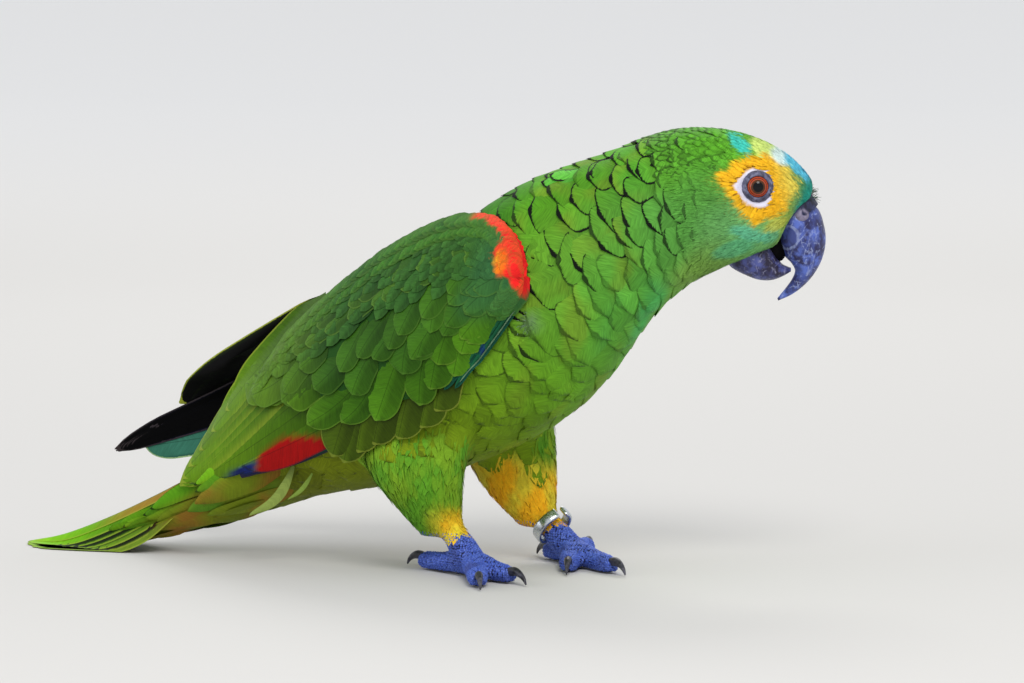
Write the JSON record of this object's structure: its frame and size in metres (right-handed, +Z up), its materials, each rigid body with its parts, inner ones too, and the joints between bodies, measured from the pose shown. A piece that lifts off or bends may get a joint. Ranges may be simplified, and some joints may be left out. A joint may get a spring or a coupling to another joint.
{
  "type": "amazon parrot",
  "caption": "Green parrot in a low walking stance, head turned a little to its left, drooped near wing, raised far wing, closed tail on the floor, open steel band on one leg.",
  "frame": {"origin": "on the floor under the middle of the whole bird's bounding box", "axes": "+X ahead, the way the body faces, +Y to the bird's left, +Z up; the head looks 22 degrees to the left of +X"},
  "size_m": [0.3096, 0.1224, 0.1652],
  "materials": {
    "plumage": "soft feathers, dark scalloped margins on the neck and breast",
    "wing_coverts": "smooth feathers with a faint gloss",
    "flight_feathers": "smooth vanes with a faint gloss",
    "wing_tips": "dark vanes with a faint gloss",
    "tail_feathers": "smooth vanes with a faint gloss",
    "cere_skin": "bare, finely wrinkled",
    "bill_horn": "horn with fine pale scratches",
    "eye": "wet and clear",
    "foot_skin": "granular scales",
    "claw_horn": "smooth horn",
    "ring_steel": "plain, lightly worn"
  },
  "bodies": {
    "root": {"trunk": "plumage", "rump": "plumage", "neck": "plumage", "head": "plumage", "thigh_right": "plumage", "thigh_left": "plumage", "cere": "cere_skin", "bill_upper": "bill_horn", "bill_lower": "bill_horn", "eye_right": "eye", "eye_left": "eye", "tail": "tail_feathers", "wing_right_coverts": "wing_coverts", "wing_right_secondaries": "flight_feathers", "wing_right_primaries": "wing_tips", "wing_left_coverts": "wing_coverts", "wing_left_secondaries": "flight_feathers", "wing_left_primaries": "wing_tips", "foot_right": "foot_skin", "foot_left": "foot_skin", "claw_right_1": "claw_horn", "claw_right_2": "claw_horn", "claw_right_3": "claw_horn", "claw_right_4": "claw_horn", "claw_left_1": "claw_horn", "claw_left_2": "claw_horn", "claw_left_3": "claw_horn", "claw_left_4": "claw_horn", "leg_ring": "ring_steel"}
  },
  "joints": []
}
